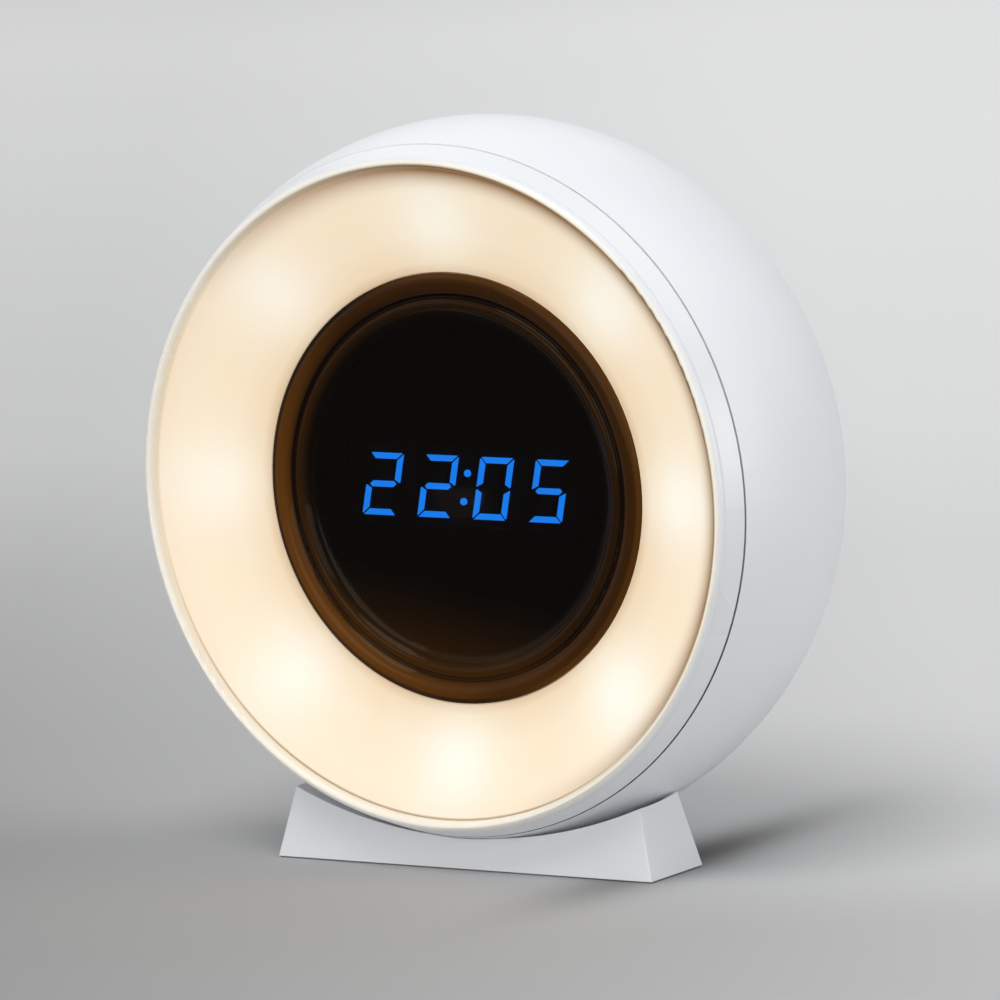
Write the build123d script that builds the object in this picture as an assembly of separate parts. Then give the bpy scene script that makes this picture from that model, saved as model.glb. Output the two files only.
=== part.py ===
from build123d import *
import os
from math import atan2, cos, degrees, radians, sin, sqrt, tan

# Sunrise alarm clock: a round light-up head on a wedge foot. Millimetres, +Z up.
# The clock faces -Y. The origin is the centre of the foot's underside.
# The head is drawn in its own frame: its origin is the middle of the front lip's plane,
# and a "depth" is a distance back from that plane along the head's axis.

# ---- overall ----
HEAD_CLEARANCE = 4.3      # table to the head's underside
LIP_PLANE_AHEAD = 21.0    # lip plane ahead of the foot's centre
BODY_R = 87.7             # head's largest radius
BELLY_DEPTH = 31.7        # depth of that largest radius
FRONT_SEMI = 78.6         # axial semi-axis of the skin ahead of the belly
REAR_SEMI = 71.7          # axial semi-axis of the skin behind the belly
BODY_DEPTH = 72.0         # depth of the flat back
BACK_ROUND = 5.0          # rounding where the skin meets the flat back
WALL = 1.8                # shell wall
GAP = 0.3                 # clearance of pieces that fit into each other
HAIR = 0.1                # clearance of pieces that seat on each other

# ---- front bezel ----
LIP_WIDTH = 2.64          # lip's bore to where its round meets the skin
LIP_CREST_IN = 1.35       # lip's bore to its crest
LIP_OUTER_DEPTH = 2.3     # depth where the lip's round meets the skin
LIP_INNER_DEPTH = 1.3     # depth where the lip's round meets its bore
LIP_THICK = 2.8           # depth of the lip's back shoulder
LIP_INNER_ROUND = (0.37, 0.36)   # middle of the inner round: out from the bore, back from the crest
LIP_OUTER_ROUND = (0.4, 0.7)     # middle of the outer round: in from the skin, back from the crest
SEAM_DEPTH = 7.4          # rear edge of the bezel's skin
SEAM_GAP = 0.5            # open line between bezel and rear shell
TONGUE_T = 1.6            # spigot that slides into the rear shell
TONGUE_END = 10.5
ARM_ANGLES = (35, 145, 205, 335)   # seen from the front, from +X towards +Z
ARM_SPREAD = 8.0          # degrees of arc of each rearward arm
ARM_BOSS_R = 2.6
ARM_BOSS_LENGTH = 6.0

# ---- display lens ----
RING_WIDTH = 26.69        # glowing ring's width between the lip's bore and the lens
LENS_EDGE_DEPTH = 12.75   # depth of the lens's outer corner
LENS_CREST_IN = 2.4       # lens's edge to its crest
LENS_CREST_DEPTH = 12.0
GROOVE_IN = 5.7
GROOVE_DEPTH = 13.9
GROOVE_HALF = 0.5
INNER_BAND_IN = 8.8       # to where the inner band turns down into the dish
INNER_BAND_DEPTH = 13.5
DISH_IN = 11.4
DISH_DEPTH = 14.6
DISH_WALL_MIDDLE = (0.4, 0.65)   # middle of the wall into the dish: share of its run in and down
DISH_CENTRE_DEPTH = 15.3
LENS_BACK_DEPTH = 14.9    # flat ledge behind the lens's rim
LENS_T = 1.5              # thickness behind the dish

# ---- diffuser ring ----
DIFFUSER_T = 2.0
DIFFUSER_HOLD = 0.6       # how far the flange reaches under the lip
DIFFUSER_SHOW = 0.7       # how far inside the lip's bore the flange turns into the dish
DIFFUSER_SAG = 1.5        # how far the dish bellies out behind its chord
ADHESIVE_T = 0.3

# ---- inner frame ----
FRAME_FLANGE_RIM = 1.2    # flange outside the diffuser's collar
FRAME_FLANGE_T = 1.5
LENS_SEAT = 6.0           # width of the lens's glued rim
TUB_T = 2.0
TUB_LEDGE = 2.0           # ledge that carries the mask
MASK_T = 1.0
FLOOR_DEPTH = 25.0        # front face of the floor that carries the light board
FLOOR_T = 2.0
FLOOR_INSET = 12.6        # shell's inside to the floor's edge
FLOOR_RIM = 1.5           # floor outside the reflector's foot
EAR_WIDTH = 9.0
LIGHT_BOARD_T = 1.6
REFLECTOR_T = 1.5
LED_COUNT = 8
LED_INSET = 6.0           # reflector's foot to the ring of lights
LED_SIZE = 5.0
LED_T = 1.6

# ---- display ----
DIGIT_DEPTH = 17.4        # depth of the lit segments' faces
DIGIT_PITCH = 15.6
DIGIT_WIDTH = 9.3
DIGIT_HEIGHT = 13.75      # between the middles of the top and bottom segments
DIGIT_SLANT = 11.5        # degrees
DIGIT_DROP = 0.35         # row's middle below the head's axis
SEGMENT_W = 1.4
SEGMENT_GAP = 0.75
SEGMENT_TAPER = 0.8       # how far a bar's inner edge stays short at the digit's middle
SEGMENT_T = 0.5
COLON_R = 0.85
COLON_RISE = 3.45
SHOWN_TIME = "2205"
SEGMENTS = {              # column and row of both ends, and the outward direction
    "a": ((0, 2), (1, 2), (0, 1)),
    "b": ((1, 2), (1, 1), (1, 0)),
    "c": ((1, 1), (1, 0), (1, 0)),
    "d": ((0, 0), (1, 0), (0, -1)),
    "e": ((0, 1), (0, 0), (-1, 0)),
    "f": ((0, 2), (0, 1), (-1, 0)),
    "g": ((0, 1), (1, 1), None),
}
LIT_SEGMENTS = {"0": "abcdef", "2": "abdeg", "5": "acdfg"}
MODULE_LENGTH = 70.0
MODULE_HEIGHT = 24.0

# ---- boards and screws ----
BOARD_T = 1.6
MODULE_BACK = 23.4        # back of the display module, face of the main board
SCREW_R = 1.5
SMALL_SCREW_R = 1.1
HEAD_H = 1.6
SMALL_HEAD_R = 2.1
CONNECTOR_H = 4.4

# ---- what stands on the main board, and its leads ----
CHIPS = (                 # width, height, thickness, x, z
    (10.0, 10.0, 1.4, -12.0, 8.0),
    (7.0, 5.0, 1.4, 14.0, -4.0),
    (8.0, 3.0, 3.0, -12.0, -6.0),
)
CAPACITOR_R = 3.1
CAPACITOR_H = 6.5
CAPACITOR_PLACE = (16.0, 10.0)
RIBBON_PLACE = (0.0, 27.0)
RIBBON_WIDTH = 14.0
RIBBON_T = 0.8
PLUG_WIDTH = 7.0
PLUG_HEIGHT = 5.0
SPEAKER_PLUG = (24.0, -14.0)
LIGHT_PLUG = (-30.0, 0.0)
POWER_PLUG = (0.0, -34.0)
LEAD_R = 0.9
LEAD_BEND = 0.45          # share of the shorter run that a bend takes up
LIGHT_LEAD_LOOP = 11.0    # depth of its loop behind the inner frame
SPEAKER_LEAD_CORNERS = (0.34, 0.62)   # shares of the way from its plug to the speaker
SPEAKER_LEAD_END = (0.7, -0.6)        # where it meets the basket, as shares of the speaker's radius
POWER_LEAD_CORNERS = (0.38, 0.57)     # shares of the way between its plugs

# ---- case screws and their wells ----
WELL_RING_R = 56.0
WELL_ANGLES = (45, 135, 225, 315)
WELL_R = 3.5
WELL_WALL = 1.5
WELL_FLOOR_DEPTH = 40.0
CASE_HEAD_R = 3.0
CASE_HEAD_H = 2.2
CASE_SCREW_LENGTH = 10.0

# ---- controls on the back ----
KEY_TRAVEL = 1.0
KEY_PROUD = 1.6           # how far a cap stands out of the back
KEY_R = 4.5
KEY_FLANGE = 1.3
KEY_FLANGE_T = 1.2
KEY_STEM_R = 2.0
KEY_STEM_LENGTH = 1.9
KEY_ROUND = 0.8           # rounding of a cap's edge
KEY_COLUMNS = (-20.0, 0.0, 20.0)
KEY_ROWS = (34.0, 20.0)
KEY_NAMES = (("time", "alarm", "sound"), ("minus", "light", "plus"))
SNOOZE_Z = 50.0
SNOOZE_LENGTH = 36.0
SNOOZE_WIDTH = 11.0
SWITCH_SIZE = 6.0
SWITCH_H = 3.5
PLUNGER_R = 1.7
PLUNGER_PROUD = 1.7
KEY_BOARD_WIDTH = 60.0
KEY_BOARD_LOW = 12.0
KEY_BOARD_HIGH = 59.0
KEY_POST_X = 27.0
KEY_POST_ZS = (27.0, 55.0)
POST_R = 2.5

# ---- speaker ----
SPEAKER_Z = -12.0
SPEAKER_R = 20.0
SPEAKER_RIM = 3.0
SPEAKER_SHEET = 0.8
BASKET_LENGTH = 8.0
BASKET_BACK_R = 9.5
MAGNET_R = 9.0
MAGNET_LENGTH = 5.0
SPEAKER_GASKET_T = 0.6
SPEAKER_STAND = 3.6       # ring and bosses that hold the speaker off the back
SPEAKER_SCREW_ANGLES = (30, 150, 270)
SPEAKER_BOSS_OUT = 23.4
GRILLE_HOLE_R = 1.0
GRILLE_PITCH = 3.8
GRILLE_RINGS = 3

# ---- coin cell compartment ----
BATTERY_X = 40.0          # to -X of the middle
BATTERY_Z = -16.0
BATTERY_DEEP = 5.6
CELL_R = 10.0
CELL_T = 3.2
CONTACT_T = 0.4
DOOR_T = 1.5
DOOR_LEDGE = 1.4
DOOR_RIB_R = 7.5          # rib ring inside the door that holds the cell down
DOOR_RIB_INNER_R = 6.0
NAIL_WIDTH = 10.0         # nail recess in the door
NAIL_HEIGHT = 1.5
NAIL_DEEP = 0.75
NAIL_INSET = 3.0          # from the door's upper edge
CONTACT_WIDTH = 10.0
CONTACT_STRIP = 5.0

# ---- power inlet ----
JACK_Z = -54.0
JACK_SIZE = 10.0
JACK_LENGTH = 13.6
JACK_COLLAR_R = 4.2
JACK_BORE_R = 3.0
JACK_BORE_DEEP = 10.0
JACK_PIN_R = 1.0
POWER_BOARD_WIDTH = 27.0
POWER_BOARD_HEIGHT = 14.0
POWER_POST_X = 10.5

LABEL_X = 40.0
LABEL_WIDTH = 24.0
LABEL_HEIGHT = 18.0
LABEL_DEEP = 0.4

# ---- ballast ----
BALLAST_INSET = 12.7      # head's largest radius to the bar's inside
BALLAST_HALF_ANGLE = 57.0   # to each side of straight down

# ---- foot ----
FOOT_WIDTH = 105.7
FOOT_DEPTH = 24.0
FOOT_SIDE_LEAN = 0.247    # run inwards per unit of height
FOOT_FACE_LEAN = 0.163
FOOT_WALL = 1.6
FOOT_EMBED = 4.0          # how far the wedge runs on inside the head before the cradle is cut
FOOT_EDGE_ROUND = 0.4
CRADLE_MOUTH_R = 130.0    # radius of the cradle's front edge, flatter than the head
PAD_T = 0.4
PAD_INSET = 0.5           # the pad's edge inside the foot's
PLATE_T = 1.5
FOOT_SCREW_X = 24.0
FOOT_SCREW_BITE = 9.35    # how far the screws reach into the head
FOOT_BOSS_R = 4.2
FOOT_HEAD_R = 2.9
FOOT_WEIGHT_IN = 29.5

UP = (Align.CENTER, Align.CENTER, Align.MIN)

# ---- depths that follow from the sizes above ----
shell_front = SEAM_DEPTH + SEAM_GAP
back_inside = BODY_DEPTH - WALL
reflector_face = LIP_THICK + DIFFUSER_T + 2 * HAIR
flange_front = LENS_BACK_DEPTH + ADHESIVE_T
flange_back = flange_front + FRAME_FLANGE_T
mask_back = DIGIT_DEPTH + SEGMENT_T
floor_back = FLOOR_DEPTH + FLOOR_T
light_board_face = FLOOR_DEPTH - LIGHT_BOARD_T
main_board_back = MODULE_BACK + BOARD_T
key_flange_back = back_inside - GAP
plunger_top = key_flange_back - KEY_FLANGE_T - KEY_STEM_LENGTH
switch_top = plunger_top - PLUNGER_PROUD
key_board_back = switch_top - SWITCH_H
key_board_front = key_board_back - BOARD_T
jack_front = back_inside - JACK_LENGTH
power_board_front = jack_front - BOARD_T
speaker_back = back_inside - SPEAKER_STAND - SPEAKER_GASKET_T
speaker_seat = speaker_back - SPEAKER_SHEET
basket_front = speaker_seat - BASKET_LENGTH
battery_half = CELL_R + CONTACT_T + 2 * HAIR
battery_floor = BODY_DEPTH - DOOR_T - BATTERY_DEEP
plate_top = PAD_T + PLATE_T


def rod(radius, start, end, x=0.0, z=0.0):
    """A cylinder along the head's axis between two depths."""
    return Pos(x, start, z) * Rot(-90, 0, 0) * Cylinder(radius, end - start, align=UP)


def tube(outer, inner, start, end, x=0.0, z=0.0):
    return rod(outer, start, end, x, z) - rod(inner, start, end, x, z)


def block(width, height, start, end, x=0.0, z=0.0):
    """A box between two depths, width along X and height along Z."""
    return Pos(x, (start + end) / 2, z) * Box(width, end - start, height)


def turned(outline):
    """Turns an outline of (radius, depth) about the head's axis."""
    return revolve(make_face(outline), Axis.Y)


def turned_polygon(*points):
    return turned(Polyline(*points, close=True))


def on_circle(radius, angle, z=0.0):
    """X and Z of a point on a circle, from +X towards +Z."""
    return radius * cos(radians(angle)), z + radius * sin(radians(angle))


def skin_radius(depth, inset=0.0):
    """Radius of the head's skin, or of the skin moved inwards by inset."""
    semi = (FRONT_SEMI if depth < BELLY_DEPTH else REAR_SEMI) - inset
    return (BODY_R - inset) * sqrt(1 - ((depth - BELLY_DEPTH) / semi) ** 2)


def head_underside(x):
    """Height of the head's underside below its belly, at a distance to the side."""
    return axis_height - sqrt(BODY_R**2 - x**2)


# ---- radii and heights that follow from the head's skin ----
lip_outer_r = skin_radius(LIP_OUTER_DEPTH)
lip_inner_r = lip_outer_r - LIP_WIDTH
lip_crest_r = lip_inner_r + LIP_CREST_IN
diffuser_flange_r = lip_inner_r + DIFFUSER_HOLD
diffuser_dish_r = lip_inner_r - DIFFUSER_SHOW
floor_r = skin_radius(FLOOR_DEPTH, WALL) - FLOOR_INSET
reflector_foot_r = floor_r - FLOOR_RIM - REFLECTOR_T
led_ring_r = reflector_foot_r - LED_INSET
lens_r = lip_inner_r - RING_WIDTH
lens_crest_r = lens_r - LENS_CREST_IN
groove_r = lens_r - GROOVE_IN
inner_band_r = lens_r - INNER_BAND_IN
dish_r = lens_r - DISH_IN
tub_r = lens_r - LENS_SEAT
main_board_r = tub_r - 2 * GAP
frame_flange_r = lens_r + GAP + DIFFUSER_T + FRAME_FLANGE_RIM
ballast_inner_r = BODY_R - BALLAST_INSET
axis_height = BODY_R + HEAD_CLEARANCE
foot_top = head_underside(FOOT_WIDTH / 2) + FOOT_EMBED
foot_screw_top = head_underside(FOOT_SCREW_X) + FOOT_SCREW_BITE
HEAD = Pos(0, -LIP_PLANE_AHEAD, axis_height)


def skin_arc(start, end, inset=0.0):
    """Elliptical arc of the skin between two depths on one side of the belly."""
    semi = (FRONT_SEMI if start < BELLY_DEPTH else REAR_SEMI) - inset

    def turn(depth):
        sine = (depth - BELLY_DEPTH) / semi
        return degrees(atan2(sine, sqrt(1 - sine**2)))

    return EllipticalCenterArc(
        (0, BELLY_DEPTH), BODY_R - inset, semi, turn(start), arc_size=turn(end) - turn(start)
    )


def head_form(start, end, inset=0.0, back_round=0.0):
    """Solid of the head's skin, moved inwards by inset, between two depths."""
    outline = Line((0, start), (skin_radius(start, inset), start))
    outline += skin_arc(start, BELLY_DEPTH, inset)
    outline += skin_arc(BELLY_DEPTH, end, inset)
    outline += Line((skin_radius(end, inset), end), (0, end))
    outline += Line((0, end), (0, start))
    form = turned(outline)
    if back_round > 0:
        form = fillet(form.edges().sort_by(Axis.Y)[-1], back_round)
    return form


def sector(form, centre, spread):
    """The slice of a form within spread degrees about an angle, from +X towards +Z."""
    reach = 4 * BODY_R
    left = on_circle(reach, centre + spread / 2)
    right = on_circle(reach, centre - spread / 2)
    wedge = Polygon((0, 0), right, left, align=None)
    return form & extrude(Plane.XZ * wedge, reach, both=True)


def screw(radius, head_radius, head_height, shaft_length, seat, x, z, points_back=False):
    """A screw along the head's axis with its head's seat at a depth."""
    way = 1 if points_back else -1
    head_top = seat - way * head_height
    head = rod(head_radius, *sorted((seat, head_top)), x, z)
    shaft = rod(radius, *sorted((seat, seat + way * shaft_length)), x, z)
    recess = rod(head_radius / 2, *sorted((head_top, head_top + way * head_height / 2)), x, z)
    return head + shaft - recess


def lead(*points):
    """A round lead through points (x, depth, z), with bends as large as the runs allow."""
    corners = [Vector(*p) for p in points]
    radii = []
    for before, here, after in zip(corners, corners[1:], corners[2:]):
        turn = radians((here - before).get_angle(after - here))
        shorter = min((here - before).length, (after - here).length)
        radii.append(LEAD_BEND * shorter / tan(turn / 2))
    path = FilletPolyline(*corners, radius=radii)
    return sweep(Plane(path @ 0, z_dir=path % 0) * Circle(LEAD_R), path)


def front_bezel():
    tongue_r = skin_radius(shell_front, WALL) - GAP
    tongue_inner = tongue_r - TONGUE_T
    inner_middle = (lip_inner_r + LIP_INNER_ROUND[0], LIP_INNER_ROUND[1])
    outer_middle = (lip_outer_r - LIP_OUTER_ROUND[0], LIP_OUTER_ROUND[1])
    outline = Line((lip_inner_r, LIP_THICK), (lip_inner_r, LIP_INNER_DEPTH))
    outline += ThreePointArc((lip_inner_r, LIP_INNER_DEPTH), inner_middle, (lip_crest_r, 0))
    outline += ThreePointArc((lip_crest_r, 0), outer_middle, (lip_outer_r, LIP_OUTER_DEPTH))
    outline += skin_arc(LIP_OUTER_DEPTH, SEAM_DEPTH)
    outline += Polyline(
        (skin_radius(SEAM_DEPTH), SEAM_DEPTH),
        (tongue_r, SEAM_DEPTH),
        (tongue_r, TONGUE_END),
        (tongue_inner, TONGUE_END),
        (tongue_inner, LIP_THICK),
        (lip_inner_r, LIP_THICK),
    )
    bezel = turned(outline)
    arm = tube(tongue_r, tongue_inner, TONGUE_END, FLOOR_DEPTH - HAIR)
    boss_ring_r = tongue_inner - ARM_BOSS_R + HAIR
    for angle in ARM_ANGLES:
        x, z = on_circle(boss_ring_r, angle)
        boss = rod(ARM_BOSS_R, FLOOR_DEPTH - ARM_BOSS_LENGTH, FLOOR_DEPTH - HAIR, x, z)
        boss -= rod(SMALL_SCREW_R + HAIR, FLOOR_DEPTH - ARM_BOSS_LENGTH, FLOOR_DEPTH, x, z)
        bezel += sector(arm, angle, ARM_SPREAD) + boss
    return bezel


def diffuser_ring():
    """Opal dish between the lip and the display, with a flange outside and a collar inside."""
    inner_r = lens_r + GAP
    flange_face = LIP_THICK + HAIR
    outer = Vector(diffuser_dish_r, flange_face)
    inner = Vector(inner_r, LENS_EDGE_DEPTH)
    chord = inner - outer
    belly = outer + chord * 0.5 + Vector(-chord.Y, chord.X).normalized() * -DIFFUSER_SAG
    back = Vector(0, DIFFUSER_T)
    outline = ThreePointArc(outer, belly, inner)
    outline += Line(inner, inner + back)
    outline += ThreePointArc(inner + back, belly + back, outer + back)
    outline += Polyline(
        outer + back,
        (diffuser_flange_r, flange_face + DIFFUSER_T),
        (diffuser_flange_r, flange_face),
        outer,
    )
    collar_front = LENS_EDGE_DEPTH + DIFFUSER_T / 2
    return turned(outline) + tube(inner_r + DIFFUSER_T, inner_r, collar_front, flange_front - HAIR)


def display_lens():
    """Smoked dish: a rounded rim, a groove, a second rounded band and a shallow bowl."""
    groove_side = GROOVE_DEPTH - GROOVE_HALF
    outline = ThreePointArc(
        (lens_r, LENS_EDGE_DEPTH),
        (lens_crest_r, LENS_CREST_DEPTH),
        (groove_r + GROOVE_HALF, groove_side),
    )
    outline += ThreePointArc(
        (groove_r + GROOVE_HALF, groove_side),
        (groove_r, GROOVE_DEPTH),
        (groove_r - GROOVE_HALF, groove_side),
    )
    band_crest = ((groove_r - GROOVE_HALF + inner_band_r) / 2, groove_side - GROOVE_HALF)
    outline += ThreePointArc(
        (groove_r - GROOVE_HALF, groove_side), band_crest, (inner_band_r, INNER_BAND_DEPTH)
    )
    wall_middle = (
        inner_band_r + (dish_r - inner_band_r) * DISH_WALL_MIDDLE[0],
        INNER_BAND_DEPTH + (DISH_DEPTH - INNER_BAND_DEPTH) * DISH_WALL_MIDDLE[1],
    )
    outline += ThreePointArc((inner_band_r, INNER_BAND_DEPTH), wall_middle, (dish_r, DISH_DEPTH))
    sag = DISH_CENTRE_DEPTH - DISH_DEPTH
    bowl_r = (dish_r**2 + sag**2) / (2 * sag)
    bowl_middle = DISH_CENTRE_DEPTH - bowl_r + sqrt(bowl_r**2 - (dish_r / 2) ** 2)
    outline += ThreePointArc((dish_r, DISH_DEPTH), (dish_r / 2, bowl_middle), (0, DISH_CENTRE_DEPTH))
    outline += Polyline(
        (0, DISH_CENTRE_DEPTH),
        (0, DISH_CENTRE_DEPTH + LENS_T),
        (dish_r, DISH_DEPTH + LENS_T),
        (tub_r - LENS_T, LENS_BACK_DEPTH),
        (lens_r, LENS_BACK_DEPTH),
        (lens_r, LENS_EDGE_DEPTH),
    )
    return turned(outline)


def display_mask():
    mask = rod(tub_r - GAP, mask_back - MASK_T, mask_back)
    window = 2 * TUB_LEDGE
    return mask - block(MODULE_LENGTH - window, MODULE_HEIGHT - window, 0, BODY_DEPTH)


def display_module():
    return block(MODULE_LENGTH, MODULE_HEIGHT, mask_back, MODULE_BACK)


def display_marks(shapes):
    """Raises flat (x, z) outlines on the display module's face."""
    marks = [extrude(Plane.XZ * shape, SEGMENT_T, dir=(0, -1, 0)) for shape in shapes]
    return Pos(0, mask_back, -DIGIT_DROP) * Compound(children=[mark.solid() for mark in marks])


def slanted(x, z):
    return x + z * tan(radians(DIGIT_SLANT)), z


def bar_end(point, away, out, at_corner):
    """Outer and inner corner at one end of a digit's outer bar."""
    half = SEGMENT_W / 2
    outer_reach, inner_reach = (half, half) if at_corner else (0, SEGMENT_TAPER)
    outer = point + out * half + away * (outer_reach - SEGMENT_GAP / 2)
    inner = point - out * half - away * (inner_reach + SEGMENT_GAP / 2)
    return outer, inner


def middle_bar(start, end, along):
    """Corners of a digit's middle bar, which has pointed ends."""
    across = Vector(-along.Y, along.X) * (SEGMENT_W / 2)
    start += along * SEGMENT_GAP / 2
    end -= along * SEGMENT_GAP / 2
    shoulder = along * (SEGMENT_W / 2)
    return (
        start,
        start + shoulder + across,
        end - shoulder + across,
        end,
        end - shoulder - across,
        start + shoulder - across,
    )


def segment(place, name):
    """One bar of a seven-segment digit."""
    *spots, outward = SEGMENTS[name]
    start, end = (
        Vector((i - 0.5) * (DIGIT_WIDTH - SEGMENT_W), (j - 1) * DIGIT_HEIGHT / 2) for i, j in spots
    )
    along = (end - start).normalized()
    if outward is None:
        corners = middle_bar(start, end, along)
    else:
        out = Vector(*outward)
        outer_start, inner_start = bar_end(start, -along, out, spots[0][1] != 1)
        outer_end, inner_end = bar_end(end, along, out, spots[1][1] != 1)
        corners = (outer_start, outer_end, inner_end, inner_start)
    shift = (place - 1.5) * DIGIT_PITCH
    outline = [(shift + x, z) for x, z in (slanted(corner.X, corner.Y) for corner in corners)]
    return Polygon(*outline, align=None)


def segments(lit):
    shapes = []
    for place, digit in enumerate(SHOWN_TIME):
        names = [name for name in SEGMENTS if (name in LIT_SEGMENTS[digit]) == lit]
        shapes += [segment(place, name) for name in names]
    return display_marks(shapes)


def colon_dots():
    places = [slanted(0, rise) for rise in (COLON_RISE, -COLON_RISE)]
    return display_marks([Pos(x, z) * Circle(COLON_R) for x, z in places])


def arm_places():
    ring_r = skin_radius(shell_front, WALL) - GAP - TONGUE_T - ARM_BOSS_R + HAIR
    return [on_circle(ring_r, angle) for angle in ARM_ANGLES]


def well_places():
    return [on_circle(WELL_RING_R, angle) for angle in WELL_ANGLES]


def board_screw_places():
    return [on_circle(main_board_r - SMALL_HEAD_R - HAIR, angle) for angle in WELL_ANGLES]


def inner_frame():
    """Tub behind the display, with a floor behind the lights and bosses for the case screws."""
    flange = tube(frame_flange_r, tub_r, flange_front, flange_back)
    tub = tube(tub_r + TUB_T, tub_r, flange_front, floor_back)
    ledge = tube(tub_r + HAIR, tub_r - TUB_LEDGE, mask_back, mask_back + TUB_LEDGE)
    floor = tube(floor_r, tub_r, FLOOR_DEPTH, floor_back)
    frame = flange + tub + ledge + floor
    ear_ring_r = Vector(*arm_places()[0]).length + ARM_BOSS_R
    ear = tube(ear_ring_r, floor_r - WALL, FLOOR_DEPTH, floor_back)
    for angle in ARM_ANGLES:
        frame += sector(ear, angle, degrees(EAR_WIDTH / ear_ring_r))
    for x, z in arm_places():
        frame -= rod(SMALL_SCREW_R + HAIR, FLOOR_DEPTH, floor_back, x, z)
    for x, z in board_screw_places():
        frame += rod(SMALL_HEAD_R + 2 * HAIR, mask_back, MODULE_BACK, x, z)
        frame -= rod(SMALL_SCREW_R + HAIR, mask_back + TUB_LEDGE, MODULE_BACK, x, z)
    for x, z in well_places():
        boss_end = WELL_FLOOR_DEPTH - WELL_WALL - HAIR
        frame += rod(WELL_R, floor_back, boss_end, x, z)
        frame -= rod(SCREW_R + HAIR, floor_back, boss_end, x, z)
    x, z = light_lead_places()[-1][0], light_lead_places()[-1][2]
    return frame - rod(LEAD_R + 2 * GAP, FLOOR_DEPTH, floor_back, x, z)


def light_reflector():
    """White cone that closes the light chamber between the diffuser and the light board."""
    face = reflector_face
    foot = FLOOR_DEPTH - HAIR
    return turned_polygon(
        (diffuser_dish_r + HAIR, face),
        (diffuser_flange_r, face),
        (diffuser_flange_r, face + REFLECTOR_T),
        (reflector_foot_r + REFLECTOR_T, foot),
        (reflector_foot_r, foot),
    )


def light_board():
    return tube(reflector_foot_r - GAP, tub_r + TUB_T + GAP, light_board_face, FLOOR_DEPTH)


def ring_leds():
    led = block(LED_SIZE, LED_SIZE, light_board_face - LED_T, light_board_face, led_ring_r)
    return group(Rot(0, k * 360 / LED_COUNT, 0) * led for k in range(LED_COUNT))


def group(solids):
    """Separate solids that share one node."""
    return Compound(children=[piece.solid() for piece in solids])


def screws(places, radius, head_radius, head_height, length, seat, points_back=False):
    return group(
        screw(radius, head_radius, head_height, length, seat, x, z, points_back) for x, z in places
    )


def frame_screws():
    length = ARM_BOSS_LENGTH + FLOOR_T - HAIR
    return screws(arm_places(), SMALL_SCREW_R, SMALL_HEAD_R, HEAD_H, length, floor_back)


def main_board():
    board = rod(main_board_r, MODULE_BACK, main_board_back)
    for x, z in board_screw_places():
        board -= rod(SMALL_SCREW_R + HAIR, MODULE_BACK, main_board_back, x, z)
    return board


def board_screws():
    length = main_board_back - mask_back - TUB_LEDGE - HAIR
    return screws(
        board_screw_places(), SMALL_SCREW_R, SMALL_HEAD_R, HEAD_H, length, main_board_back
    )


def board_chips():
    """Clock chip, sound chip, crystal and capacitor."""
    face = main_board_back
    chips = [block(width, height, face, face + thick, x, z) for width, height, thick, x, z in CHIPS]
    return group([*chips, rod(CAPACITOR_R, face, face + CAPACITOR_H, *CAPACITOR_PLACE)])


def board_connectors():
    """Plug sockets on the main, key and power boards."""
    ribbon_end = RIBBON_WIDTH + 2 * RIBBON_T
    main_end = main_board_back + CONNECTOR_H
    sockets = [
        block(ribbon_end, PLUG_HEIGHT, main_board_back, main_end, *RIBBON_PLACE),
        block(ribbon_end, PLUG_HEIGHT, key_board_front - CONNECTOR_H, key_board_front, *RIBBON_PLACE),
        block(PLUG_WIDTH, PLUG_HEIGHT, power_board_front - CONNECTOR_H, power_board_front, 0, JACK_Z),
    ]
    for x, z in (SPEAKER_PLUG, LIGHT_PLUG, POWER_PLUG):
        sockets.append(block(PLUG_WIDTH, PLUG_HEIGHT, main_board_back, main_end, x, z))
    return group(sockets)


# ---- leads ----
def key_ribbon():
    start = main_board_back + CONNECTOR_H
    return block(RIBBON_WIDTH, RIBBON_T, start, key_board_front - CONNECTOR_H, *RIBBON_PLACE)


def light_lead_places():
    """A loop from the main board, over the tub's edge, to the back of the light board."""
    x, z = LIGHT_PLUG
    start = main_board_back + CONNECTOR_H
    loop = floor_back + LIGHT_LEAD_LOOP
    board_x = -(tub_r + TUB_T + 4 * LEAD_R)
    return (x, start, z), (x, loop, z), (board_x, loop, z), (board_x, FLOOR_DEPTH, z)


def speaker_lead_places():
    x, z = SPEAKER_PLUG
    start = main_board_back + CONNECTOR_H
    first, second = (start + share * (speaker_seat - start) for share in SPEAKER_LEAD_CORNERS)
    end_x = SPEAKER_R * SPEAKER_LEAD_END[0]
    end_z = SPEAKER_Z + SPEAKER_R * SPEAKER_LEAD_END[1]
    return (x, start, z), (x, first, z), (end_x, second, end_z), (end_x, speaker_seat, end_z)


def power_lead_places():
    x, z = POWER_PLUG
    start = main_board_back + CONNECTOR_H
    end = power_board_front - CONNECTOR_H
    first, second = (start + share * (end - start) for share in POWER_LEAD_CORNERS)
    return (x, start, z), (x, first, z), (x, second, JACK_Z), (x, end, JACK_Z)


# ---- rear shell and what it holds ----

def key_places():
    return {
        name: (x, z)
        for names, z in zip(KEY_NAMES, KEY_ROWS)
        for name, x in zip(names, KEY_COLUMNS)
    }


def key_board_posts():
    return [(side * KEY_POST_X, z) for side in (-1, 1) for z in KEY_POST_ZS]


def power_board_posts():
    return [(side * POWER_POST_X, JACK_Z) for side in (-1, 1)]


def speaker_screw_places():
    return [on_circle(SPEAKER_BOSS_OUT, angle, SPEAKER_Z) for angle in SPEAKER_SCREW_ANGLES]


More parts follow.
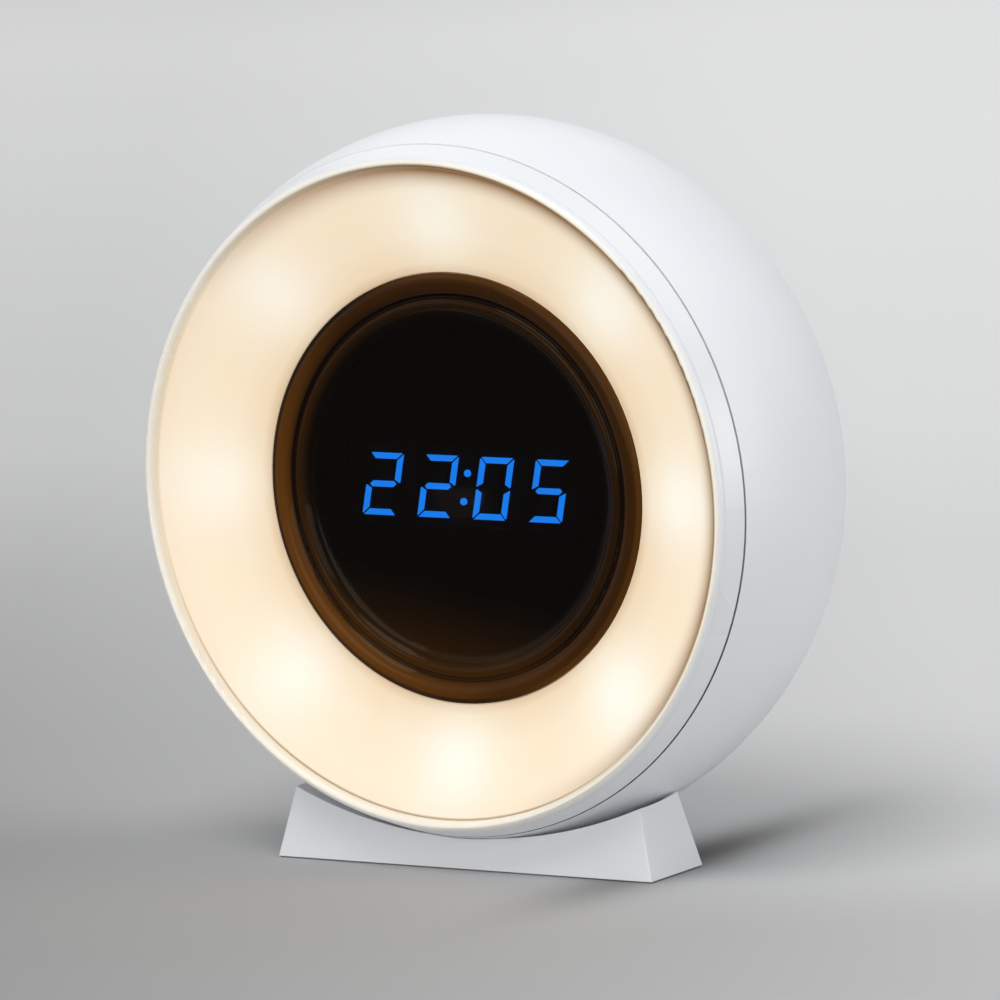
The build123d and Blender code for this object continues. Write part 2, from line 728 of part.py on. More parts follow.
def foot_screw_holes():
    """The foot screws' clearance holes, seen from the head's own frame."""
    return [
        Pos(side * FOOT_SCREW_X, LIP_PLANE_AHEAD, -axis_height)
        * Cylinder(SCREW_R + HAIR, foot_screw_top + GAP, align=UP)
        for side in (-1, 1)
    ]


def snooze_slab(start, end, grow=0.0):
    """The long key's outline between two depths."""
    slot = SlotOverall(SNOOZE_LENGTH + 2 * grow, SNOOZE_WIDTH + 2 * grow)
    return Pos(0, end, SNOOZE_Z) * extrude(Plane.XZ * slot, end - start, dir=(0, -1, 0))


def grille_places():
    places = [(0.0, SPEAKER_Z)]
    for ring in range(1, GRILLE_RINGS + 1):
        for k in range(6 * ring):
            places.append(on_circle(ring * GRILLE_PITCH, 60 * k / ring, SPEAKER_Z))
    return places


def rear_shell():
    """Round shell with a flat back that carries the keys, speaker, coin cell and power inlet."""
    shell = head_form(shell_front, BODY_DEPTH, 0, BACK_ROUND)
    shell -= head_form(shell_front, back_inside, WALL, BACK_ROUND - WALL)
    for x, z in well_places():
        shell += rod(WELL_R + WELL_WALL, WELL_FLOOR_DEPTH - WELL_WALL, back_inside, x, z)
    for x, z in key_board_posts():
        shell += rod(POST_R, key_board_back, back_inside, x, z)
    for x, z in power_board_posts():
        shell += rod(POST_R, jack_front, back_inside, x, z)
    for x, z in speaker_screw_places():
        shell += rod(POST_R, speaker_seat, back_inside, x, z)
    speaker_rest = speaker_back + SPEAKER_GASKET_T
    shell += tube(SPEAKER_R, SPEAKER_R - SPEAKER_RIM, speaker_rest, back_inside, 0, SPEAKER_Z)
    pocket = 2 * (battery_half + WALL)
    shell += block(pocket, pocket, battery_floor - WALL, back_inside, -BATTERY_X, BATTERY_Z)

    shell -= block(2 * battery_half, 2 * battery_half, battery_floor, BODY_DEPTH, -BATTERY_X, BATTERY_Z)
    door = 2 * (battery_half + DOOR_LEDGE)
    shell -= block(door, door, BODY_DEPTH - DOOR_T, BODY_DEPTH, -BATTERY_X, BATTERY_Z)
    for x, z in well_places():
        shell -= rod(WELL_R, WELL_FLOOR_DEPTH, BODY_DEPTH, x, z)
        shell -= rod(SCREW_R + HAIR, WELL_FLOOR_DEPTH - WELL_WALL, WELL_FLOOR_DEPTH, x, z)
    for x, z in key_board_posts() + power_board_posts() + speaker_screw_places():
        shell -= rod(SMALL_SCREW_R + HAIR, jack_front, back_inside, x, z)
    for x, z in key_places().values():
        shell -= rod(KEY_R + GAP, back_inside, BODY_DEPTH, x, z)
    shell -= snooze_slab(back_inside, BODY_DEPTH, GAP)
    for x, z in grille_places():
        shell -= rod(GRILLE_HOLE_R, back_inside, BODY_DEPTH, x, z)
    shell -= rod(JACK_COLLAR_R + GAP, back_inside, BODY_DEPTH, 0, JACK_Z)
    shell -= block(LABEL_WIDTH, LABEL_HEIGHT, BODY_DEPTH - LABEL_DEEP, BODY_DEPTH, LABEL_X, BATTERY_Z)
    for hole in foot_screw_holes():
        shell -= hole
    return shell


def case_screws():
    return screws(
        well_places(), SCREW_R, CASE_HEAD_R, CASE_HEAD_H, CASE_SCREW_LENGTH, WELL_FLOOR_DEPTH
    )


def key(x, z):
    """A round key: cap through the back, flange behind it and stem down to its switch."""
    flange_front = key_flange_back - KEY_FLANGE_T
    cap = rod(KEY_R, key_flange_back, BODY_DEPTH + KEY_PROUD, x, z)
    cap = fillet(cap.edges().sort_by(Axis.Y)[-1], KEY_ROUND)
    flange = rod(KEY_R + KEY_FLANGE, flange_front, key_flange_back, x, z)
    return cap + flange + rod(KEY_STEM_R, plunger_top, flange_front, x, z)


def snooze_key():
    flange_front = key_flange_back - KEY_FLANGE_T
    cap = snooze_slab(key_flange_back, BODY_DEPTH + KEY_PROUD)
    cap = fillet(cap.faces().sort_by(Axis.Y)[-1].edges(), KEY_ROUND)
    flange = snooze_slab(flange_front, key_flange_back, KEY_FLANGE)
    return cap + flange + rod(KEY_STEM_R, plunger_top, flange_front, 0, SNOOZE_Z)


def plunger(x, z):
    return rod(PLUNGER_R, switch_top - KEY_TRAVEL, plunger_top, x, z)


def key_switches():
    switches = []
    for x, z in [*key_places().values(), (0, SNOOZE_Z)]:
        switch = block(SWITCH_SIZE, SWITCH_SIZE, key_board_back, switch_top, x, z)
        well = rod(PLUNGER_R + HAIR, switch_top - 2 * KEY_TRAVEL - HAIR, switch_top, x, z)
        switches.append(switch - well)
    return group(switches)


def key_board():
    middle = (KEY_BOARD_LOW + KEY_BOARD_HIGH) / 2
    height = KEY_BOARD_HIGH - KEY_BOARD_LOW
    board = block(KEY_BOARD_WIDTH, height, key_board_front, key_board_back, 0, middle)
    for x, z in key_board_posts():
        board -= rod(SMALL_SCREW_R + HAIR, key_board_front, key_board_back, x, z)
    return board


def key_board_screws():
    length = BOARD_T + SWITCH_H
    return screws(
        key_board_posts(), SMALL_SCREW_R, SMALL_HEAD_R, HEAD_H, length, key_board_front, True
    )


def power_board():
    board = block(POWER_BOARD_WIDTH, POWER_BOARD_HEIGHT, power_board_front, jack_front, 0, JACK_Z)
    for x, z in power_board_posts():
        board -= rod(SMALL_SCREW_R + HAIR, power_board_front, jack_front, x, z)
    return board


def power_board_screws():
    length = BOARD_T + SWITCH_H
    return screws(
        power_board_posts(), SMALL_SCREW_R, SMALL_HEAD_R, HEAD_H, length, power_board_front, True
    )


def jack_housing():
    collar_end = BODY_DEPTH - GAP
    housing = block(JACK_SIZE, JACK_SIZE, jack_front, back_inside - HAIR, 0, JACK_Z)
    housing += rod(JACK_COLLAR_R, jack_front, collar_end, 0, JACK_Z)
    return housing - rod(JACK_BORE_R, collar_end - JACK_BORE_DEEP, collar_end, 0, JACK_Z)


def jack_pin():
    collar_end = BODY_DEPTH - GAP
    return rod(JACK_PIN_R, collar_end - JACK_BORE_DEEP, collar_end - JACK_PIN_R, 0, JACK_Z)


def speaker_basket():
    inner_r = SPEAKER_R - SPEAKER_RIM
    basket = turned_polygon(
        (0, basket_front),
        (BASKET_BACK_R, basket_front),
        (inner_r, speaker_seat),
        (SPEAKER_R, speaker_seat),
        (SPEAKER_R, speaker_back),
        (inner_r - SPEAKER_SHEET, speaker_back),
        (BASKET_BACK_R - SPEAKER_SHEET, basket_front + SPEAKER_SHEET),
        (0, basket_front + SPEAKER_SHEET),
    )
    return Pos(0, 0, SPEAKER_Z) * basket


def speaker_magnet():
    return rod(MAGNET_R, basket_front - MAGNET_LENGTH, basket_front, 0, SPEAKER_Z)


def speaker_cone():
    """Paper cone with a flat surround that lies on the basket's rim."""
    rim_r = SPEAKER_R - SPEAKER_RIM
    coil_r = BASKET_BACK_R / 2
    apex = basket_front + 2 * SPEAKER_SHEET
    paper = SPEAKER_GASKET_T
    cone = turned_polygon(
        (0, apex),
        (coil_r, apex),
        (rim_r - 2 * SPEAKER_SHEET, speaker_back),
        (rim_r - HAIR, speaker_back),
        (rim_r - HAIR, speaker_back + paper),
        (rim_r - 3 * SPEAKER_SHEET, speaker_back + paper),
        (coil_r - HAIR, apex + paper),
        (0, apex + paper),
    )
    return Pos(0, 0, SPEAKER_Z) * cone


def speaker_gasket():
    inner_r = SPEAKER_R - SPEAKER_RIM
    return tube(SPEAKER_R, inner_r, speaker_back, speaker_back + SPEAKER_GASKET_T, 0, SPEAKER_Z)


def speaker_screws():
    clamp_r = SPEAKER_BOSS_OUT - SPEAKER_R + SPEAKER_SHEET
    length = back_inside - speaker_seat
    return screws(
        speaker_screw_places(), SMALL_SCREW_R, clamp_r, HEAD_H, length, speaker_seat, True
    )


def coin_cell():
    start = battery_floor + CONTACT_T
    return rod(CELL_R, start, start + CELL_T, -BATTERY_X, BATTERY_Z)


def battery_contact_minus():
    end = battery_floor + CONTACT_T
    return block(CONTACT_WIDTH, CONTACT_STRIP, battery_floor, end, -BATTERY_X, BATTERY_Z)


def battery_contact_plus():
    x = -BATTERY_X + CELL_R + HAIR + CONTACT_T / 2
    return block(CONTACT_T, CONTACT_STRIP, battery_floor, battery_floor + CELL_T, x, BATTERY_Z)


def battery_door():
    """Lift-off door with a rib ring that keeps the cell on its contacts."""
    size = 2 * (battery_half + DOOR_LEDGE - GAP)
    inner_face = BODY_DEPTH - DOOR_T
    door = block(size, size, inner_face, BODY_DEPTH, -BATTERY_X, BATTERY_Z)
    cell_back = battery_floor + CONTACT_T + CELL_T + HAIR
    door += tube(DOOR_RIB_R, DOOR_RIB_INNER_R, cell_back, inner_face, -BATTERY_X, BATTERY_Z)
    nail_z = BATTERY_Z + size / 2 - NAIL_INSET
    nail_floor = BODY_DEPTH - NAIL_DEEP
    return door - block(NAIL_WIDTH, NAIL_HEIGHT, nail_floor, BODY_DEPTH, -BATTERY_X, nail_z)


def ballast_bar():
    """Steel arc low in the head, into which the foot screws thread."""
    inset = WALL + GAP
    bar = head_form(TONGUE_END + GAP, back_inside, inset)
    bar &= rod(BODY_R, TONGUE_END + GAP, floor_back)
    bar -= rod(ballast_inner_r, 0, BODY_DEPTH)
    bar -= turned_polygon(
        (0, reflector_face),
        (diffuser_flange_r + 2 * GAP, reflector_face),
        (diffuser_flange_r + 2 * GAP, reflector_face + REFLECTOR_T),
        (reflector_foot_r + REFLECTOR_T + 2 * GAP, FLOOR_DEPTH),
        (0, FLOOR_DEPTH),
    )
    bar = sector(bar, 270, 2 * BALLAST_HALF_ANGLE)
    for hole in foot_screw_holes():
        bar -= hole
    return bar


# ---- foot, in the clock's own frame ----
def foot_wedge(low, high, inset=0.0):
    """The foot's leaning block between two heights, with its flanks moved in by inset."""
    sections = []
    for z in (low, high):
        side = inset + FOOT_SIDE_LEAN * (z - PAD_T)
        face = inset + FOOT_FACE_LEAN * (z - PAD_T)
        sections.append(Pos(0, 0, z) * Rectangle(FOOT_WIDTH - 2 * side, FOOT_DEPTH - 2 * face))
    return loft(sections)


def head_block(outset):
    """The head as one solid, grown by outset, for cutting the foot's cradle."""
    return HEAD * head_form(SEAM_DEPTH, back_inside, -outset)


def cradle_mouth(outset):
    """The cradle's flatter mouth, which opens from the head's belly to the foot's front."""
    mouth_depth = LIP_PLANE_AHEAD - FOOT_DEPTH / 2
    centre_z = CRADLE_MOUTH_R - skin_radius(mouth_depth)
    mouth = Plane((0, mouth_depth, centre_z), z_dir=(0, 1, 0)) * Circle(CRADLE_MOUTH_R + outset)
    belly = Plane((0, BELLY_DEPTH, 0), z_dir=(0, 1, 0)) * Circle(BODY_R + outset)
    return HEAD * loft([mouth, belly], ruled=True)


def cradle(outset):
    """What the foot's top is cut with: the head and the mouth ahead of its belly."""
    return head_block(outset) + cradle_mouth(outset)


def foot_screw_rod(radius, low, high, side):
    return Pos(side * FOOT_SCREW_X, 0, low) * Cylinder(radius, high - low, align=UP)


def foot():
    shell = foot_wedge(PAD_T, foot_top)
    leaning = shell.edges().filter_by(lambda edge: edge.bounding_box().size.Z > foot_top / 2)
    shell = fillet(leaning, FOOT_EDGE_ROUND)
    shell -= foot_wedge(0, foot_top, FOOT_WALL) - cradle(HAIR + FOOT_WALL)
    for side in (-1, 1):
        shell += foot_screw_rod(FOOT_BOSS_R, plate_top, foot_screw_top, side)
        shell -= foot_screw_rod(SCREW_R + HAIR, 0, foot_screw_top, side)
    return shell - cradle(HAIR)


def countersunk(side, grow=0.0):
    cone = Cone(FOOT_HEAD_R + grow, SCREW_R + grow, PLATE_T, align=UP)
    return Pos(side * FOOT_SCREW_X, 0, PAD_T) * cone


def foot_base_plate():
    plate = foot_wedge(PAD_T, plate_top, FOOT_WALL + GAP)
    for side in (-1, 1):
        plate -= countersunk(side, HAIR)
    return plate


def foot_pad():
    """Anti-slip pad under the whole foot, over the base plate and the screws."""
    outline = Rectangle(FOOT_WIDTH - 2 * PAD_INSET, FOOT_DEPTH - 2 * PAD_INSET)
    return extrude(outline, PAD_T)


def foot_weights():
    bulk = foot_wedge(plate_top, foot_top, FOOT_WALL + GAP) - cradle(HAIR + FOOT_WALL + GAP)
    reach = FOOT_WIDTH / 2
    halves = []
    for side in (-1, 1):
        middle = side * (FOOT_WEIGHT_IN + reach) / 2
        halves.append(bulk & Pos(middle, 0, 0) * Box(reach - FOOT_WEIGHT_IN, FOOT_DEPTH, 2 * foot_top))
    return group(halves)


def foot_screws():
    return group(
        countersunk(side) + foot_screw_rod(SCREW_R, PAD_T, foot_screw_top, side) for side in (-1, 1)
    )


# ---- all nodes ----
head_nodes = {
    "front_bezel": front_bezel(),
    "diffuser_ring": diffuser_ring(),
    "display_lens": display_lens(),
    "lens_adhesive_ring": tube(lens_r, tub_r, LENS_BACK_DEPTH, flange_front),
    "display_mask": display_mask(),
    "lit_segments": segments(lit=True),
    "unlit_segments": segments(lit=False),
    "colon_dots": colon_dots(),
    "display_module": display_module(),
    "inner_frame": inner_frame(),
    "light_reflector": light_reflector(),
    "light_board": light_board(),
    "ring_leds": ring_leds(),
    "frame_screws": frame_screws(),
    "main_board": main_board(),
    "board_chips": board_chips(),
    "board_connectors": board_connectors(),
    "board_screws": board_screws(),
    "key_ribbon": key_ribbon(),
    "light_lead": lead(*light_lead_places()),
    "speaker_lead": lead(*speaker_lead_places()),
    "power_lead": lead(*power_lead_places()),
    "rear_shell": rear_shell(),
    "case_screws": case_screws(),
    "key_board": key_board(),
    "key_switches": key_switches(),
    "key_board_screws": key_board_screws(),
    "power_board": power_board(),
    "power_board_screws": power_board_screws(),
    "jack_housing": jack_housing(),
    "jack_pin": jack_pin(),
    "speaker_basket": speaker_basket(),
    "speaker_magnet": speaker_magnet(),
    "speaker_cone": speaker_cone(),
    "speaker_gasket": speaker_gasket(),
    "speaker_screws": speaker_screws(),
    "coin_cell": coin_cell(),
    "battery_contact_minus": battery_contact_minus(),
    "battery_contact_plus": battery_contact_plus(),
    "battery_door": battery_door(),
    "ballast_bar": ballast_bar(),
    "snooze_button": snooze_key(),
    "snooze_plunger": plunger(0, SNOOZE_Z),
}
for name, (x, z) in key_places().items():
    head_nodes[name + "_button"] = key(x, z)
    head_nodes[name + "_plunger"] = plunger(x, z)

foot_nodes = {
    "foot": foot(),
    "foot_base_plate": foot_base_plate(),
    "foot_pad": foot_pad(),
    "foot_weights": foot_weights(),
    "foot_screws": foot_screws(),
}

os.makedirs("parts", exist_ok=True)
for name, shape in head_nodes.items():
    export_step(HEAD * shape, f"parts/{name}.step")
for name, shape in foot_nodes.items():
    export_step(shape, f"parts/{name}.step")
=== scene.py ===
"""Sunrise alarm clock: the looks.

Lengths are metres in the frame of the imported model. The clock stands on z = 0, its front faces -Y,
and the round head is turned about an axis along Y. Colours are linear unless seen() makes them.
"""

from math import cos, pi, radians, sin

import bmesh
import bpy
from mathutils import Matrix, Vector


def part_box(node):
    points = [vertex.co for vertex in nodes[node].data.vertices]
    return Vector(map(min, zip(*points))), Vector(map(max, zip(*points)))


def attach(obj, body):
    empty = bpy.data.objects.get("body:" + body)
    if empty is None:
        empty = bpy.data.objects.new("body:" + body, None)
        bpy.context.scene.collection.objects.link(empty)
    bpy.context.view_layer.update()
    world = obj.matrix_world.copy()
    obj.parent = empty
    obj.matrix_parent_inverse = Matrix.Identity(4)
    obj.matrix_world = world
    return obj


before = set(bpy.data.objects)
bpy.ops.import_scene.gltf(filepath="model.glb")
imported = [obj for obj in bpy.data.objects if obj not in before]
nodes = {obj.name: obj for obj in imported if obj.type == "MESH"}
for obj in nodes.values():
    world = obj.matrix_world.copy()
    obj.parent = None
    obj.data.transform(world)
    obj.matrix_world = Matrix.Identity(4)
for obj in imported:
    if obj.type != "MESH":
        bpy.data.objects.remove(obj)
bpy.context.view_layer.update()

# ---- places read from the frame ----
bezel_low, bezel_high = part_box("front_bezel")
lens_low, lens_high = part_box("display_lens")
diffuser_low, diffuser_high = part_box("diffuser_ring")
AXIS_Z = (bezel_low.z + bezel_high.z) / 2
LIP_Y = bezel_low.y
LENS_R = (lens_high.x - lens_low.x) / 2
LENS_WINDOW_R = 0.77 * LENS_R
DIFFUSER_R = (diffuser_high.x - diffuser_low.x) / 2
LIP_BORE_R = DIFFUSER_R - 0.0006
SEAM_GAP = 0.0005
SHELL_FRONT_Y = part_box("rear_shell")[0].y
BEZEL_BACK_Y = SHELL_FRONT_Y - SEAM_GAP


# ---- camera ----
CAMERA_FROM_LIP = Vector((1.1936, -1.8638, 0.3180))
CAMERA_YAW = 0.5617
CAMERA_PITCH = 0.1434
CAMERA_ROLL = -0.0422
CAMERA_LENS = 338.5
CAMERA_REACH = 100
SENSOR = 36


def aim_camera():
    """The photograph's view: from the front right, a little above."""
    back = Vector(
        (
            sin(CAMERA_YAW) * cos(CAMERA_PITCH),
            -cos(CAMERA_YAW) * cos(CAMERA_PITCH),
            sin(CAMERA_PITCH),
        )
    )
    level = Vector((cos(CAMERA_YAW), sin(CAMERA_YAW), 0))
    upright = back.cross(level)
    right = cos(CAMERA_ROLL) * level + sin(CAMERA_ROLL) * upright
    up = cos(CAMERA_ROLL) * upright - sin(CAMERA_ROLL) * level
    data = bpy.data.cameras.new("camera")
    data.sensor_width = SENSOR
    data.lens = CAMERA_LENS
    data.clip_end = CAMERA_REACH
    camera = bpy.data.objects.new("camera", data)
    bpy.context.scene.collection.objects.link(camera)
    turn = Matrix((right, up, back)).transposed().to_4x4()
    camera.matrix_world = (
        Matrix.Translation(Vector((0, LIP_Y, AXIS_Z)) + CAMERA_FROM_LIP) @ turn
    )
    bpy.context.scene.camera = camera


# ---- node materials ----
NOISE_REACH = (0.3, 0.7)  # nearly all of a noise lies between these
UPPER_RIGHT = 35  # degrees from the right towards the top
UPPER_RIGHT_COSINES = (-0.35, 0.6)


def seen(red, green, blue):
    """A colour read off a picture, 0 to 255, as a linear one."""
    return tuple(
        (c / 255 / 12.92) if c <= 10 else ((c / 255 + 0.055) / 1.055) ** 2.4
        for c in (red, green, blue)
    )


def shade(colour, factor):
    """The colour, lighter or darker."""
    return tuple(c * factor for c in colour)


def grey(value):
    return (value, value, value)


def rays_in_view(tree):
    """1 for rays from the camera, straight, mirrored or through glass, and 0 for the others."""
    rays = tree.nodes.new("ShaderNodeLightPath").outputs
    in_view = rays["Is Camera Ray"]
    for name in ("Is Glossy Ray", "Is Transmission Ray"):
        total = tree.nodes.new("ShaderNodeMath")
        total.use_clamp = True
        tree.links.new(in_view, total.inputs[0])
        tree.links.new(rays[name], total.inputs[1])
        in_view = total.outputs[0]
    return in_view


class Surface:
    """One node material. Each call adds nodes and gives back their output."""

    def __init__(self, name):
        self.material = bpy.data.materials.new(name)
        self.material.use_nodes = True
        self.tree = self.material.node_tree
        self.tree.nodes.clear()
        self.shader = self.add("ShaderNodeBsdfPrincipled")
        output = self.add("ShaderNodeOutputMaterial")
        self.tree.links.new(self.shader.outputs["BSDF"], output.inputs["Surface"])
        self.place = self.add("ShaderNodeTexCoord").outputs["Object"]

    def add(self, kind, **settings):
        node = self.tree.nodes.new(kind)
        for name, value in settings.items():
            setattr(node, name, value)
        return node

    def feed(self, socket, value):
        """Links the socket, or sets it where the value is a constant."""
        if isinstance(value, bpy.types.NodeSocket):
            self.tree.links.new(value, socket)
        elif isinstance(value, tuple) and socket.type == "RGBA":
            socket.default_value = (*value, 1)
        else:
            socket.default_value = value

    def set(self, **values):
        """Feeds the shader: base_color=..., roughness=..."""
        for name, value in values.items():
            label = name.replace("_", " ").title().replace("Ior", "IOR")
            self.feed(self.shader.inputs[label], value)

    def math(self, operation, *values):
        node = self.add("ShaderNodeMath", operation=operation)
        for socket, value in zip(node.inputs, values):
            self.feed(socket, value)
        return node.outputs[0]

    def times(self, first, second):
        return self.math("MULTIPLY", first, second)

    def less(self, first, second):
        return self.math("SUBTRACT", first, second)

    def along(self, x, y, cosine, sine):
        """How far the point (x, y) lies along the direction (cosine, sine)."""
        return self.math("ADD", self.times(x, cosine), self.times(y, sine))

    def squares(self, x, y):
        """x squared plus y squared."""
        return self.math("ADD", self.times(x, x), self.times(y, y))

    def span(self, value, low, high, to_low=0.0, to_high=1.0):
        """The value's place between low and high, held at both ends."""
        node = self.add("ShaderNodeMapRange", clamp=True)
        for socket, number in zip(node.inputs, (value, low, high, to_low, to_high)):
            self.feed(socket, number)
        return node.outputs[0]

    def noise(self, size, detail=2.0, stretch=(1, 1, 1)):
        """Noise with features about size metres across, from 0 to 1."""
        place = self.add("ShaderNodeMapping", vector_type="POINT")
        self.feed(place.inputs["Vector"], self.place)
        place.inputs["Scale"].default_value = stretch
        node = self.add("ShaderNodeTexNoise")
        self.feed(node.inputs["Vector"], place.outputs["Vector"])
        node.inputs["Scale"].default_value = 1 / size
        node.inputs["Detail"].default_value = detail
        return node.outputs["Fac"]

    def patchy(self, low, high, size, detail=2.0, stretch=(1, 1, 1)):
        """A value that wanders between low and high."""
        return self.span(self.noise(size, detail, stretch), *NOISE_REACH, low, high)

    def ramp(self, value, stops):
        """Colours at places from 0 to 1 along the value."""
        node = self.add("ShaderNodeValToRGB")
        elements = node.color_ramp.elements
        while len(elements) < len(stops):
            elements.new(0.5)
        for element, (place, colour) in zip(elements, stops):
            element.position = place
            element.color = (*colour, 1)
        self.feed(node.inputs["Fac"], value)
        return node.outputs["Color"]

    def mix(self, factor, first, second, blend="MIX"):
        node = self.add("ShaderNodeMix", data_type="RGBA", blend_type=blend)
        self.feed(node.inputs[0], factor)
        self.feed(node.inputs[6], first)
        self.feed(node.inputs[7], second)
        return node.outputs[2]

    def clouded(self, colour, change):
        """The colour, slowly lighter and darker by the share change."""
        slow = self.noise(0.05, 1.0)
        return self.mix(slow, shade(colour, 1 - change), shade(colour, 1 + change))

    def bump(self, height, depth):
        """Feeds the normal with a height from 0 to 1 that stands for depth metres."""
        node = self.add("ShaderNodeBump")
        self.feed(node.inputs["Height"], height)
        node.inputs["Distance"].default_value = depth
        self.feed(self.shader.inputs["Normal"], node.outputs["Normal"])

    def axes(self):
        """x, y and z of the place."""
        node = self.add("ShaderNodeSeparateXYZ")
        self.feed(node.inputs[0], self.place)
        return node.outputs

    def from_axis(self):
        """How far to the right of the head's axis and above it the place lies."""
        x, _, z = self.axes()
        return x, self.less(z, AXIS_Z)

    def radius(self):
        """Distance from the head's axis."""
        return self.math("SQRT", self.squares(*self.from_axis()))

    def upper_right(self):
        """From 0 to 1 towards the upper right, where the lip shades the ring's rim."""
        x, rise = self.from_axis()
        off = self.less(self.math("ARCTAN2", rise, x), radians(UPPER_RIGHT))
        return self.span(self.math("COSINE", off), *UPPER_RIGHT_COSINES)


def plastic(name, colour, roughness, grain=0.0004, depth=0.000006):
    """Moulded plastic: a fine spark-eroded grain, slow tone changes and a few rubbed spots."""
    s = Surface(name)
    s.set(
        base_color=s.clouded(colour, change=0.03),
        roughness=s.patchy(roughness - 0.05, roughness + 0.05, size=0.012, detail=3.0),
    )
    s.bump(s.noise(grain), depth)
    return s


def metal(name, colour, roughness, brushed=(1, 1, 1)):
    """Bare or plated metal with fine scratches along its long side."""
    s = Surface(name)
    s.set(
        base_color=s.mix(s.noise(size=0.004, detail=3.0), shade(colour, 0.85), colour),
        metallic=1.0,
        roughness=s.patchy(roughness, roughness + 0.15, size=0.0006, stretch=brushed),
    )
    s.bump(s.noise(size=0.0002, stretch=brushed), depth=0.000008)
    return s


def circuit_board(name, colour, track_colour):
    """Lacquered board with faint tracks under the lacquer."""
    s = Surface(name)
    tracks = s.add("ShaderNodeTexBrick")
    s.feed(tracks.inputs["Vector"], s.place)
    tracks.inputs["Scale"].default_value = 260
    tracks.inputs["Mortar Size"].default_value = 0.03
    s.feed(tracks.inputs["Color1"], colour)
    s.feed(tracks.inputs["Color2"], shade(colour, 1.1))
    s.feed(tracks.inputs["Mortar"], track_colour)
    s.set(base_color=tracks.outputs["Color"], roughness=s.patchy(0.28, 0.42, size=0.002))
    s.bump(tracks.outputs["Fac"], depth=0.00003)
    return s


def soft(name, colour, cell, depth, roughness=0.9):
    """Foam, paper or rubber: a dull surface with small open cells or fibres."""
    s = Surface(name)
    cells = s.add("ShaderNodeTexVoronoi")
    s.feed(cells.inputs["Vector"], s.place)
    cells.inputs["Scale"].default_value = 1 / cell
    pits = cells.outputs["Distance"]
    s.set(
        base_color=s.mix(pits, shade(colour, 0.75), shade(colour, 1.15)),
        roughness=s.patchy(roughness - 0.08, roughness, size=0.003),
    )
    s.bump(pits, depth)
    return s


# ---- painted shade in the seam between bezel and shell ----
GAP_EDGE = 0.00008  # the painted shade inside the seam fades in over this depth
# the painted seam shade runs from dark low down to pale high up
GAP_LOW, GAP_HIGH = AXIS_Z - 0.04, AXIS_Z + 0.065
GAP_SHADE_DARK, GAP_SHADE_PALE = (0.13, 0.13, 0.135), (0.78, 0.78, 0.785)


def paint_seam_shade(s, edge, inside):
    """Paints shade on the surface inside the seam, which lies from the edge towards inside along y;
    the shade is darker low down and paler high up.
    """
    _, y, z = s.axes()
    colour = s.shader.inputs["Base Color"].links[0].from_socket
    tone = s.mix(s.span(z, GAP_LOW, GAP_HIGH), GAP_SHADE_DARK, GAP_SHADE_PALE)
    s.set(base_color=s.mix(s.span(y, edge, edge + inside * GAP_EDGE), colour, tone))
    return s


# ---- the lip ----
# radii of the painted ring light, at the lower left and at the upper right
LIP_RING_LIGHT_ENDS = (DIFFUSER_R - 0.001, DIFFUSER_R + 0.0006)
LIP_WHITE_STARTS = (DIFFUSER_R + 0.0026, DIFFUSER_R + 0.0014)
# the painted shade line is clear at the first radius and full inside the second
LIP_SHADE_LINE_REACH = (LIP_BORE_R + 0.0011, LIP_BORE_R + 0.0005)
# painted ring light and painted shade line on the bezel: their colours, their glows and the glow's
# strength
LIP_RING_LIGHT, LIP_SHADE_LINE = (0.84, 0.76, 0.62), (0.20, 0.13, 0.055)
LIP_RING_LIGHT_GLOW, LIP_SHADE_LINE_GLOW = (0.95, 0.84, 0.66), (0.12, 0.07, 0.03)
LIP_PAINTED_GLOW = 0.21


def lip_plastic(name, colour):
    """The bezel: gloss plastic with painted ring light in cream near the ring, and a thin painted
    shade line on it at the upper right.
    """
    s = Surface(name)
    radius = s.radius()
    corner = s.upper_right()
    ring_light_end = s.span(corner, 0.0, 1.0, *LIP_RING_LIGHT_ENDS)
    white_start = s.span(corner, 0.0, 1.0, *LIP_WHITE_STARTS)
    ring_light = s.span(radius, ring_light_end, white_start, 1.0, 0.0)
    shade_line = s.times(s.span(radius, *LIP_SHADE_LINE_REACH), corner)
    s.set(
        base_color=s.mix(ring_light, s.clouded(colour, change=0.02), s.mix(shade_line, LIP_RING_LIGHT, LIP_SHADE_LINE)),
        emission_color=s.mix(ring_light, grey(0), s.mix(shade_line, LIP_RING_LIGHT_GLOW, LIP_SHADE_LINE_GLOW)),
        emission_strength=LIP_PAINTED_GLOW,
        roughness=s.patchy(0.27, 0.31, size=0.030, detail=1.0),
    )
    s.bump(s.noise(size=0.0012, detail=1.0), depth=0.0000015)
    return s


# ---- the glowing ring ----
LED_COUNT = 8
LED_RING_R = 0.066
LED_SPREAD = 0.0115
LED_BRIGHTEST = -20  # degrees; the lamps at the lower right look the brightest
LED_STRENGTH, LED_CHANGE = 0.82, 0.14
RING_SPOT = seen(255, 250, 236)
RING_TONES = [
    (0.00, seen(213, 185, 149)),
    (0.10, seen(238, 215, 181)),
    (0.35, seen(246, 227, 198)),
    (0.62, seen(250, 231, 201)),
    (0.82, seen(249, 231, 203)),
    (1.00, seen(246, 226, 198)),
]
# the rim is shaded by the lip at the upper right
RING_RIM_REACH = (DIFFUSER_R - 0.0075, DIFFUSER_R - 0.0015)
RING_RIM = seen(140, 98, 54)
# a thin line where the ring meets the lip's bore, clearest low down
RING_JOINT_REACH = (LIP_BORE_R - 0.0007, LIP_BORE_R - 0.0002)
RING_JOINT_HEIGHTS = (-0.2 * DIFFUSER_R, -0.85 * DIFFUSER_R)
RING_JOINT_SHARES = (0.15, 0.85)
RING_JOINT = seen(150, 130, 105)
RING_GLOW = 0.74


